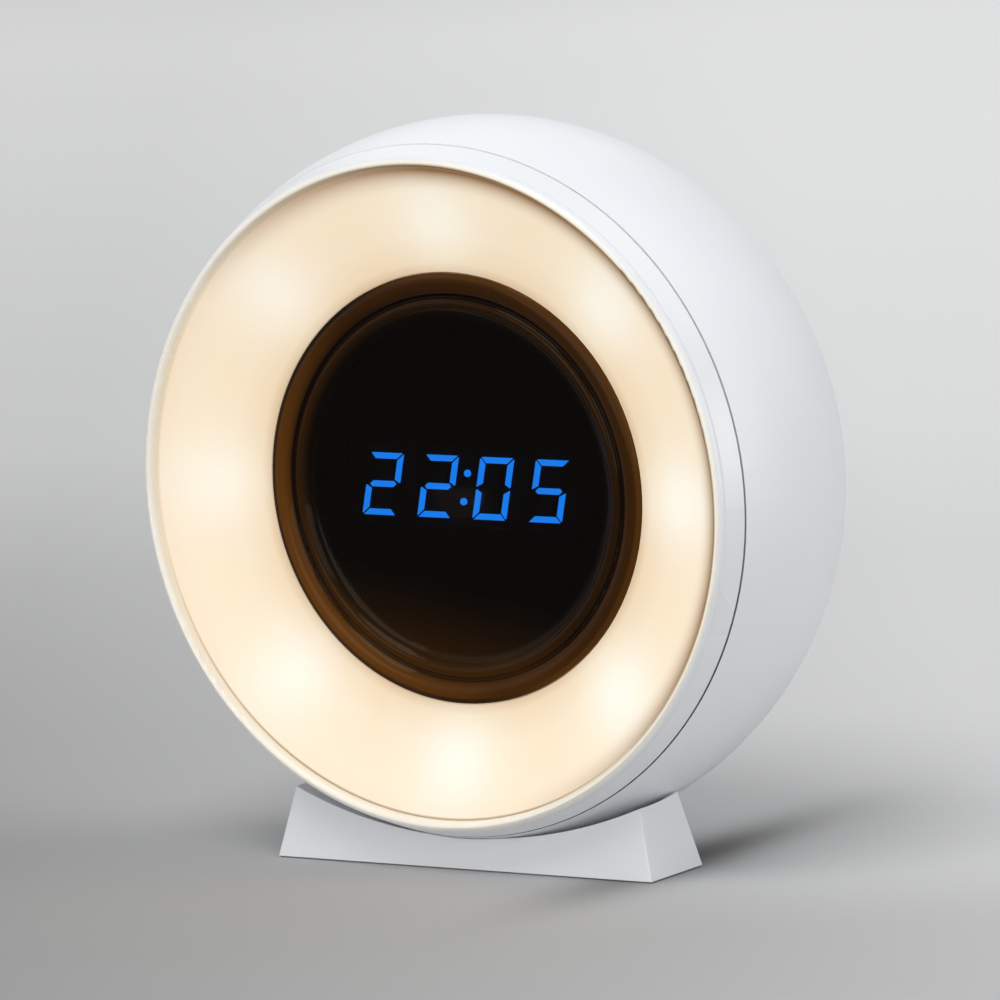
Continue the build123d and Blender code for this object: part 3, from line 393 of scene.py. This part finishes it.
def glowing_diffuser(name):
    """Opal plastic, lit from behind by eight lamps in a ring, each a soft bright spot."""
    s = Surface(name)
    x, rise = s.from_axis()
    radius = s.radius()
    step = 2 * pi / LED_COUNT
    angle = s.math("ARCTAN2", rise, x)
    nearest = s.times(s.math("ROUND", s.math("DIVIDE", angle, step)), step)
    away_x = s.less(x, s.times(s.math("COSINE", nearest), LED_RING_R))
    away_z = s.less(rise, s.times(s.math("SINE", nearest), LED_RING_R))
    spot = s.math("EXPONENT", s.math("DIVIDE", s.squares(away_x, away_z), -(LED_SPREAD**2)))
    low_right = s.math("COSINE", s.less(nearest, radians(LED_BRIGHTEST)))
    spot = s.times(spot, s.math("MULTIPLY_ADD", low_right, LED_CHANGE, LED_STRENGTH))
    colour = s.ramp(s.span(radius, LENS_R, DIFFUSER_R), RING_TONES)
    colour = s.mix(spot, colour, RING_SPOT)
    rim = s.math("POWER", s.span(radius, *RING_RIM_REACH), 2.0)
    colour = s.mix(s.times(s.upper_right(), rim), colour, RING_RIM)
    joint = s.span(radius, *RING_JOINT_REACH)
    low = s.span(rise, *RING_JOINT_HEIGHTS, *RING_JOINT_SHARES)
    colour = s.mix(s.times(joint, low), colour, RING_JOINT)
    s.set(
        base_color=s.mix(1.0, colour, grey(0.30), "MULTIPLY"),
        emission_color=colour,
        emission_strength=RING_GLOW,
        roughness=s.patchy(0.42, 0.55, size=0.008),
    )
    s.bump(s.noise(size=0.0005), depth=0.000008)
    return s


# ---- the lens ----
# the smoked tint and painted light from the ring behind it, at places from the window's edge, 0, to
# the lens's rim, 1
LENS_LIT_BANDS = [
    (0.00, (0.0010, 0.0008, 0.0006)),
    (0.21, (0.0030, 0.0013, 0.0006)),
    (0.31, (0.0260, 0.0095, 0.0012)),
    (0.46, (0.0320, 0.0115, 0.0014)),
    (0.50, (0.0080, 0.0030, 0.0006)),
    (0.56, (0.0070, 0.0025, 0.0005)),
    (0.61, (0.0900, 0.0310, 0.0035)),
    (0.70, (0.1200, 0.0410, 0.0050)),
    (1.00, (0.1150, 0.0390, 0.0045)),
]
LENS_BAND_STEP = (0.50, 0.58)
LENS_LEAST_LIGHT = (0.62, 0.30)  # of the inner and the outer band, on their dark side
# directions in degrees from the right towards the top, and distances along them from the axis
LENS_LIT_TOWARDS, LENS_LIT_REACH = 205, (0.2 * LENS_R, LENS_R)
LENS_RIM_SHADE_TOWARDS, LENS_RIM_SHADE_REACH = 200, (-0.25 * LENS_R, 0.25 * LENS_R)
LENS_GLOW_TOWARDS, LENS_GLOW_REACH = 260, (0.45 * LENS_R, LENS_WINDOW_R)
LENS_RIM_REACH = (0.972 * LENS_R, 0.984 * LENS_R)
LENS_RIM_HIGHLIGHT, LENS_RIM_SHADE = (0.0750, 0.0270, 0.0030), (0.0020, 0.0008, 0.0002)
LENS_MIDDLE_GLOW, LENS_LOW_GLOW = (0.0017, 0.0014, 0.0014), (0.019, 0.0075, 0.0018)
LENS_WINDOW_ALPHA, LENS_WINDOW_EDGE = 0.70, 0.0015


def smoked_lens(name):
    """Dark gloss cover: brown rim bands between black grooves, and a smoked see-through middle. The
    bands are the smoked tint with painted light from the ring behind, brighter towards the left; a
    painted highlight runs round the rim on the right, and a painted glow lies towards the bottom.
    """
    s = Surface(name)
    radius = s.radius()
    x, rise = s.from_axis()

    def towards(degrees):
        """How far the point lies from the axis towards this angle."""
        return s.along(x, rise, cos(radians(degrees)), sin(radians(degrees)))

    across = s.span(radius, LENS_WINDOW_R, LENS_R)
    least = s.span(across, *LENS_BAND_STEP, *LENS_LEAST_LIGHT)
    # painted light: the bands are brighter towards the left and darker on the other side
    lit = s.span(towards(LENS_LIT_TOWARDS), *LENS_LIT_REACH, least, 1.0)
    lit_bands = s.ramp(across, LENS_LIT_BANDS)
    lit_bands = s.mix(1.0, lit_bands, s.mix(lit, grey(0), grey(1)), "MULTIPLY")
    # a painted highlight round the lens's rim, turning to painted shade on the left
    rim_shade_side = s.span(towards(LENS_RIM_SHADE_TOWARDS), *LENS_RIM_SHADE_REACH)
    rim_highlight = s.mix(rim_shade_side, LENS_RIM_HIGHLIGHT, LENS_RIM_SHADE)
    # painted glow over the lens: faint grey in the middle, brown towards the bottom
    low = s.math("POWER", s.span(towards(LENS_GLOW_TOWARDS), *LENS_GLOW_REACH), 1.6)
    window_end = LENS_WINDOW_R + LENS_WINDOW_EDGE
    s.set(
        base_color=s.mix(s.span(radius, *LENS_RIM_REACH), lit_bands, rim_highlight),
        emission_color=s.mix(low, LENS_MIDDLE_GLOW, LENS_LOW_GLOW),
        emission_strength=1.0,
        alpha=s.span(radius, LENS_WINDOW_R, window_end, LENS_WINDOW_ALPHA, 1.0),
        roughness=s.patchy(0.05, 0.09, size=0.012),
        specular_ior_level=0.06,
        specular_tint=(1.0, 0.80, 0.60),
    )
    s.bump(s.noise(size=0.009, detail=1.0), depth=0.000003)
    return s


def glowing_segments(name, colour, strength):
    """Lit display bars, with slight changes of tone along each."""
    s = Surface(name)
    tone = s.noise(size=0.006, detail=1.0)
    s.set(
        base_color=shade(colour, 0.2),
        emission_color=s.mix(tone, shade(colour, 0.94), colour),
        emission_strength=strength,
        roughness=s.span(tone, 0.0, 1.0, 0.3, 0.5),
    )
    return s


# ---- finishes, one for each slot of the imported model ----
SHELL_WHITE = (0.84, 0.855, 0.885)
BEZEL_WHITE = (0.825, 0.84, 0.86)
FOOT_WHITE = (0.745, 0.755, 0.775)
BLACK_GRAIN = (0.002, 0.000001)
BOARD_WHITE, WHITE_TRACKS = (0.75, 0.76, 0.74), (0.55, 0.57, 0.55)
BOARD_GREEN, GREEN_TRACKS = (0.02, 0.12, 0.05), (0.05, 0.20, 0.09)

FINISHES = {
    "shell_white": paint_seam_shade(
        plastic("shell_white", SHELL_WHITE, 0.42), SHELL_FRONT_Y + GAP_EDGE, -1
    ),
    "bezel_ivory": paint_seam_shade(
        lip_plastic("bezel_ivory", BEZEL_WHITE), BEZEL_BACK_Y - GAP_EDGE, 1
    ),
    "foot_white": plastic("foot_white", FOOT_WHITE, 0.50),
    "door_white": plastic("door_white", shade(SHELL_WHITE, 0.98), 0.45),
    "opal_diffuser": glowing_diffuser("opal_diffuser"),
    "smoked_lens": smoked_lens("smoked_lens"),
    "lit_blue": glowing_segments("lit_blue", (0.008, 0.210, 0.88), 10.5),
    "unlit_grey": plastic("unlit_grey", grey(0.0012), 0.7, *BLACK_GRAIN),
    "mask_black": plastic("mask_black", grey(0.0010), 0.8, *BLACK_GRAIN),
    "module_black": plastic("module_black", (0.0030, 0.0030, 0.0032), 0.7, *BLACK_GRAIN),
    "adhesive": soft("adhesive", (0.06, 0.055, 0.05), 0.0008, 0.00004),
    "frame_white": plastic("frame_white", (0.72, 0.72, 0.70), 0.5),
    "reflector_white": plastic("reflector_white", (0.86, 0.86, 0.84), 0.35),
    "light_board_white": circuit_board("light_board_white", BOARD_WHITE, WHITE_TRACKS),
    "led_yellow": soft("led_yellow", (0.85, 0.62, 0.12), 0.0006, 0.00002, 0.6),
    "board_green": circuit_board("board_green", BOARD_GREEN, GREEN_TRACKS),
    "chip_black": plastic("chip_black", grey(0.02), 0.55, 0.0003),
    "connector_white": plastic("connector_white", (0.70, 0.69, 0.64), 0.45),
    "ribbon_grey": plastic("ribbon_grey", (0.42, 0.43, 0.44), 0.45),
    "lead_red": plastic("lead_red", (0.45, 0.02, 0.02), 0.40),
    "lead_black": plastic("lead_black", grey(0.02), 0.40),
    "screw_steel": metal("screw_steel", (0.62, 0.62, 0.63), 0.25),
    "jack_black": plastic("jack_black", (0.02, 0.02, 0.021), 0.38),
    "pin_brass": metal("pin_brass", (0.78, 0.60, 0.30), 0.22, (1, 0.1, 1)),
    "basket_steel": metal("basket_steel", (0.48, 0.48, 0.49), 0.35),
    "magnet_dark": metal("magnet_dark", (0.16, 0.16, 0.17), 0.40),
    "cone_paper": soft("cone_paper", grey(0.03), 0.0010, 0.00008),
    "gasket_foam": soft("gasket_foam", grey(0.04), 0.0009, 0.00020),
    "cell_steel": metal("cell_steel", (0.66, 0.66, 0.67), 0.22),
    "contact_brass": metal("contact_brass", (0.74, 0.66, 0.50), 0.26, (1, 1, 0.1)),
    "key_grey": plastic("key_grey", (0.56, 0.57, 0.585), 0.62, 0.0003, 0.000010),
    "plunger_black": plastic("plunger_black", grey(0.03), 0.50),
    "switch_grey": plastic("switch_grey", (0.30, 0.30, 0.31), 0.45),
    "ballast_steel": metal("ballast_steel", (0.40, 0.40, 0.41), 0.45),
    "pad_grey": soft("pad_grey", (0.17, 0.17, 0.175), 0.0010, 0.00010),
}


def dress_nodes():
    """Each CAD node keeps its mesh and takes the finish of its slot."""
    for node in nodes.values():
        for slot in node.material_slots:
            slot.material = FINISHES[slot.material.name].material


# ---- signs on the keys, seen from behind the clock, in millimetres from each key's middle ----
SIGN_T = 0.12
SIGN_EDGE = 0.03
SIGN_PROUD = 0.01
MM = 0.001


def ring_points(radius, x=0.0, y=0.0, start=0, end=360, steps=36):
    """Points along a circle from one angle to another, in degrees."""
    count = steps if end - start == 360 else steps + 1
    turns = [radians(start + (end - start) * i / steps) for i in range(count)]
    return [(x + radius * cos(turn), y + radius * sin(turn)) for turn in turns]


def bar_points(inner, outer, angle, width):
    """A round-ended bar that points away from the middle."""
    turn = radians(angle)
    ends = []
    for reach, first in ((outer, angle - 90), (inner, angle + 90)):
        x, y = reach * cos(turn), reach * sin(turn)
        ends += ring_points(width / 2, x, y, first, first + 180, 8)
    return ends


def sun_sign():
    return [ring_points(1.05)] + [bar_points(1.75, 2.35, turn, 0.42) for turn in range(0, 360, 45)]


def clock_sign():
    hands = [(-0.2, -0.2), (-0.2, 1.35), (0.2, 1.35), (0.2, 0.2), (1.1, 0.2), (1.1, -0.2)]
    return [ring_points(2.35), ring_points(1.9), hands]


def bell_sign():
    dome = ring_points(1.35, 0, 0.6, 0, 180, 16)
    skirt = [(-1.45, -0.6), (-2.1, -1.3), (2.1, -1.3), (1.45, -0.6)]
    return [dome + skirt, ring_points(0.5, 0, -2.05)]


def note_sign():
    stem = [(0.14, -1.4), (0.14, 2.2), (1.7, 1.35), (1.7, 0.65), (0.54, 1.3), (0.54, -1.4)]
    return [ring_points(0.8, -0.68, -1.45), stem]


def minus_sign():
    return [bar_points(-1.8, 1.8, 0, 0.55)]


def plus_sign():
    arm, half = 2.0, 0.27
    corners = [(half, arm), (half, half), (arm, half)]
    cross = []
    for _ in range(4):
        cross += corners
        corners = [(y, -x) for x, y in corners]
    return [cross]


def moon_sign():
    outer = ring_points(2.6, 0, 0, 50, 330, 40)
    inner = ring_points(2.05, 1.05, 0.35, 318, 62, 30)
    return [outer + inner]


KEY_SIGNS = {
    "snooze": moon_sign,
    "time": clock_sign,
    "alarm": bell_sign,
    "sound": note_sign,
    "minus": minus_sign,
    "light": sun_sign,
    "plus": plus_sign,
}


def raise_sign(key, outlines, material):
    """The sign as a thin raised print on the key's outer face; it moves with the key."""
    low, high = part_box(key + "_button")
    curve = bpy.data.curves.new(key + "_sign", "CURVE")
    curve.dimensions = "2D"
    curve.fill_mode = "BOTH"
    curve.extrude = (SIGN_T / 2 - SIGN_EDGE) * MM
    curve.bevel_depth = SIGN_EDGE * MM
    curve.bevel_resolution = 2
    for outline in outlines:
        spline = curve.splines.new("POLY")
        spline.points.add(len(outline) - 1)
        spline.use_cyclic_u = True
        for point, (x, y) in zip(spline.points, outline):
            point.co = (x * MM, y * MM, 0, 1)
    curve.materials.append(material)
    piece = bpy.data.objects.new(key + "_sign", curve)
    bpy.context.scene.collection.objects.link(piece)
    facing_back = Matrix(((-1, 0, 0), (0, 0, 1), (0, 1, 0))).to_4x4()
    middle_y = high.y + (SIGN_PROUD - SIGN_T / 2) * MM
    middle = Vector(((low.x + high.x) / 2, middle_y, (low.z + high.z) / 2))
    piece.matrix_world = Matrix.Translation(middle) @ facing_back
    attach(piece, key + "_key")


def place_signs():
    sign_print = plastic("sign_print", (0.20, 0.205, 0.215), 0.5, 0.0003, 0.000004)
    for key, sign in KEY_SIGNS.items():
        raise_sign(key, sign(), sign_print.material)


# ---- bare label in its recess on the back ----
LABEL_MIDDLE = (0.040, -0.016)
LABEL_SIZE = (0.0234, 0.0174)
LABEL_T = 0.00022
LABEL_SEAT = 0.00040
LABEL_ROUND = 0.0012


def label_finish():
    """Matt silver film with a very fine brushed grain."""
    s = Surface("label_film")
    fine = s.noise(size=0.0003, stretch=(0.08, 1, 1))
    s.set(
        base_color=s.mix(fine, (0.50, 0.51, 0.52), (0.60, 0.61, 0.62)),
        metallic=0.35,
        roughness=s.span(fine, *NOISE_REACH, 0.38, 0.5),
    )
    s.bump(fine, depth=0.000004)
    return s


def place_label():
    """A thin film with rounded corners, stuck in the recess."""
    corners = []
    for i, (side_x, side_z) in enumerate(((1, 1), (-1, 1), (-1, -1), (1, -1))):
        x = LABEL_MIDDLE[0] + side_x * (LABEL_SIZE[0] / 2 - LABEL_ROUND)
        z = LABEL_MIDDLE[1] + side_z * (LABEL_SIZE[1] / 2 - LABEL_ROUND)
        corners += ring_points(LABEL_ROUND, x, z, 90 * i, 90 * i + 90, 6)
    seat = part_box("battery_door")[1].y - LABEL_SEAT
    shape = bmesh.new()
    face = shape.faces.new([shape.verts.new((x, seat, AXIS_Z + z)) for x, z in corners])
    top = bmesh.ops.extrude_face_region(shape, geom=[face])
    moved = [v for v in top["geom"] if isinstance(v, bmesh.types.BMVert)]
    bmesh.ops.translate(shape, verts=moved, vec=(0, LABEL_T, 0))
    bmesh.ops.recalc_face_normals(shape, faces=shape.faces)
    mesh = bpy.data.meshes.new("label_film")
    shape.to_mesh(mesh)
    shape.free()
    mesh.materials.append(label_finish().material)
    piece = bpy.data.objects.new("label_film", mesh)
    bpy.context.scene.collection.objects.link(piece)
    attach(piece, "root")


# ---- floor: each pair of tones is for the photograph's left and right ----
FLOOR_RINGS = (0.5, 2.0, 5.0, 9.0)
FLOOR_STEPS = 64
VIEW_COS, VIEW_SIN = 0.846, 0.533  # the way the camera looks, turned from y towards -x
FLOOR_SIDES = (-0.13, 0.13)
FLOOR_FRONT = (0.33, 0.56)
FLOOR_NEAR = (0.37, 0.76)
FLOOR_FAR = (0.70, 0.92)
FLOOR_BY_CAMERA = 0.30
# from the first distance away from the camera to the second, one tone gives way to the next
FLOOR_FRONT_TO_NEAR = (-0.10, 0.08)
FLOOR_NEAR_TO_FAR = (0.05, 0.75)
FLOOR_TO_CAMERA = (-0.35, -1.2)
FLOOR_GLOW_REACH = (0.5, 6.0)
FLOOR_GLOW = [(0.0, grey(0)), (0.30, grey(0.37)), (1.0, grey(0.55))]
# a painted shadow on the floor by the foot's right rear corner
FOOT_CORNER = (0.044, 0.022)
CORNER_SHADOW_SPREAD = (0.012, 0.055)
CORNER_SHADOW_TONE, CORNER_SHADOW_SHARE = 0.02, 0.82


def floor_surface():
    """Pale matt sheet: greyer on the photograph's left, lighter on its right and far away.

    A soft painted shadow lies by the foot's right rear corner, in the deepest part of its cast
    shadow.
    """
    s = Surface("studio_floor")
    x, y, _ = s.axes()
    away = s.along(x, y, -VIEW_SIN, VIEW_COS)
    side = s.span(s.along(x, y, VIEW_COS, VIEW_SIN), *FLOOR_SIDES)
    # the tones paint the fall of the studio light: greyer on the left, in front and towards the
    # camera, lighter on the right and far away
    front, near, far = (
        s.mix(side, grey(left), grey(right)) for left, right in (FLOOR_FRONT, FLOOR_NEAR, FLOOR_FAR)
    )
    tone = s.mix(s.span(away, *FLOOR_FRONT_TO_NEAR), front, near)
    tone = s.mix(s.span(away, *FLOOR_NEAR_TO_FAR), tone, far)
    tone = s.mix(s.span(away, *FLOOR_TO_CAMERA), tone, grey(FLOOR_BY_CAMERA))
    off_x, off_y = (
        s.math("DIVIDE", s.less(place, corner), spread)
        for place, corner, spread in zip((x, y), FOOT_CORNER, CORNER_SHADOW_SPREAD)
    )
    corner_shadow = s.math("EXPONENT", s.times(s.squares(off_x, off_y), -1.0))
    distance = s.math("SQRT", s.squares(x, y))
    s.set(
        base_color=s.mix(s.times(corner_shadow, CORNER_SHADOW_SHARE), tone, grey(CORNER_SHADOW_TONE)),
        roughness=s.patchy(0.75, 0.9, size=0.3),
        specular_ior_level=0.2,
        emission_color=s.ramp(s.span(distance, *FLOOR_GLOW_REACH), FLOOR_GLOW),
        emission_strength=rays_in_view(s.tree),
    )
    s.bump(s.noise(size=0.002), depth=0.00002)
    return s


def build_stage():
    """A wide round floor; the clock stands on its flat middle."""
    shape = bmesh.new()
    turns = [2 * pi * i / FLOOR_STEPS for i in range(FLOOR_STEPS)]
    rings = [
        [shape.verts.new((radius * cos(turn), radius * sin(turn), 0)) for turn in turns]
        for radius in FLOOR_RINGS
    ]
    for inner, outer in zip(rings, rings[1:]):
        for i in range(FLOOR_STEPS):
            j = (i + 1) % FLOOR_STEPS
            shape.faces.new((inner[i], outer[i], outer[j], inner[j]))
    shape.faces.new(rings[0])
    mesh = bpy.data.meshes.new("floor")
    shape.to_mesh(mesh)
    shape.free()
    mesh.materials.append(floor_surface().material)
    floor = bpy.data.objects.new("floor", mesh)
    bpy.context.scene.collection.objects.link(floor)


# ---- light: soft square lamps, each with its place, size and power ----
LAMPS = {
    "key_light": ((0.035, -0.805, 1.5), 0.8, 10),
    "top_light": ((-0.107, 0.169, 2.0), 1.6, 2.8),
    "back_light": ((-0.8, 1.27, 1.4), 1.4, 4),
    "front_light": ((-0.45, -2.15, 0.5), 1.0, 10),
    "front_right_light": ((1.45, -1.70, 0.7), 1.2, 11),
    "right_light": ((1.927, 0.505, 0.3), 0.9, 9),
    "high_right_light": ((1.2, 0.75, 1.9), 1.4, 8),
    "left_light": ((-1.341, -1.436, 0.8), 1.2, 4),
}
LAMP_TARGET = Vector((0, 0, 0.09))
ROOM_COLOUR = (0.96, 0.98, 1.0, 1)
ROOM_LIGHT, ROOM_IN_VIEW = 0.22, 0.70


def light_stage():
    for name, (place, size, power) in LAMPS.items():
        data = bpy.data.lights.new(name, "AREA")
        data.size = size
        data.energy = power
        lamp = bpy.data.objects.new(name, data)
        bpy.context.scene.collection.objects.link(lamp)
        lamp.location = place
        lamp.rotation_euler = (LAMP_TARGET - Vector(place)).to_track_quat("-Z", "Y").to_euler()


def light_room():
    """Dim light from all sides; the background in view is paler than the light it gives."""
    world = bpy.data.worlds.new("studio")
    world.use_nodes = True
    tree = world.node_tree
    background = tree.nodes["Background"]
    background.inputs["Color"].default_value = ROOM_COLOUR
    strength = tree.nodes.new("ShaderNodeMapRange")
    strength.inputs["To Min"].default_value = ROOM_LIGHT
    strength.inputs["To Max"].default_value = ROOM_IN_VIEW
    tree.links.new(rays_in_view(tree), strength.inputs["Value"])
    tree.links.new(strength.outputs["Result"], background.inputs["Strength"])
    bpy.context.scene.world = world


aim_camera()
dress_nodes()
place_signs()
place_label()
build_stage()
light_stage()
light_room()
bpy.context.scene.view_settings.view_transform = "Standard"
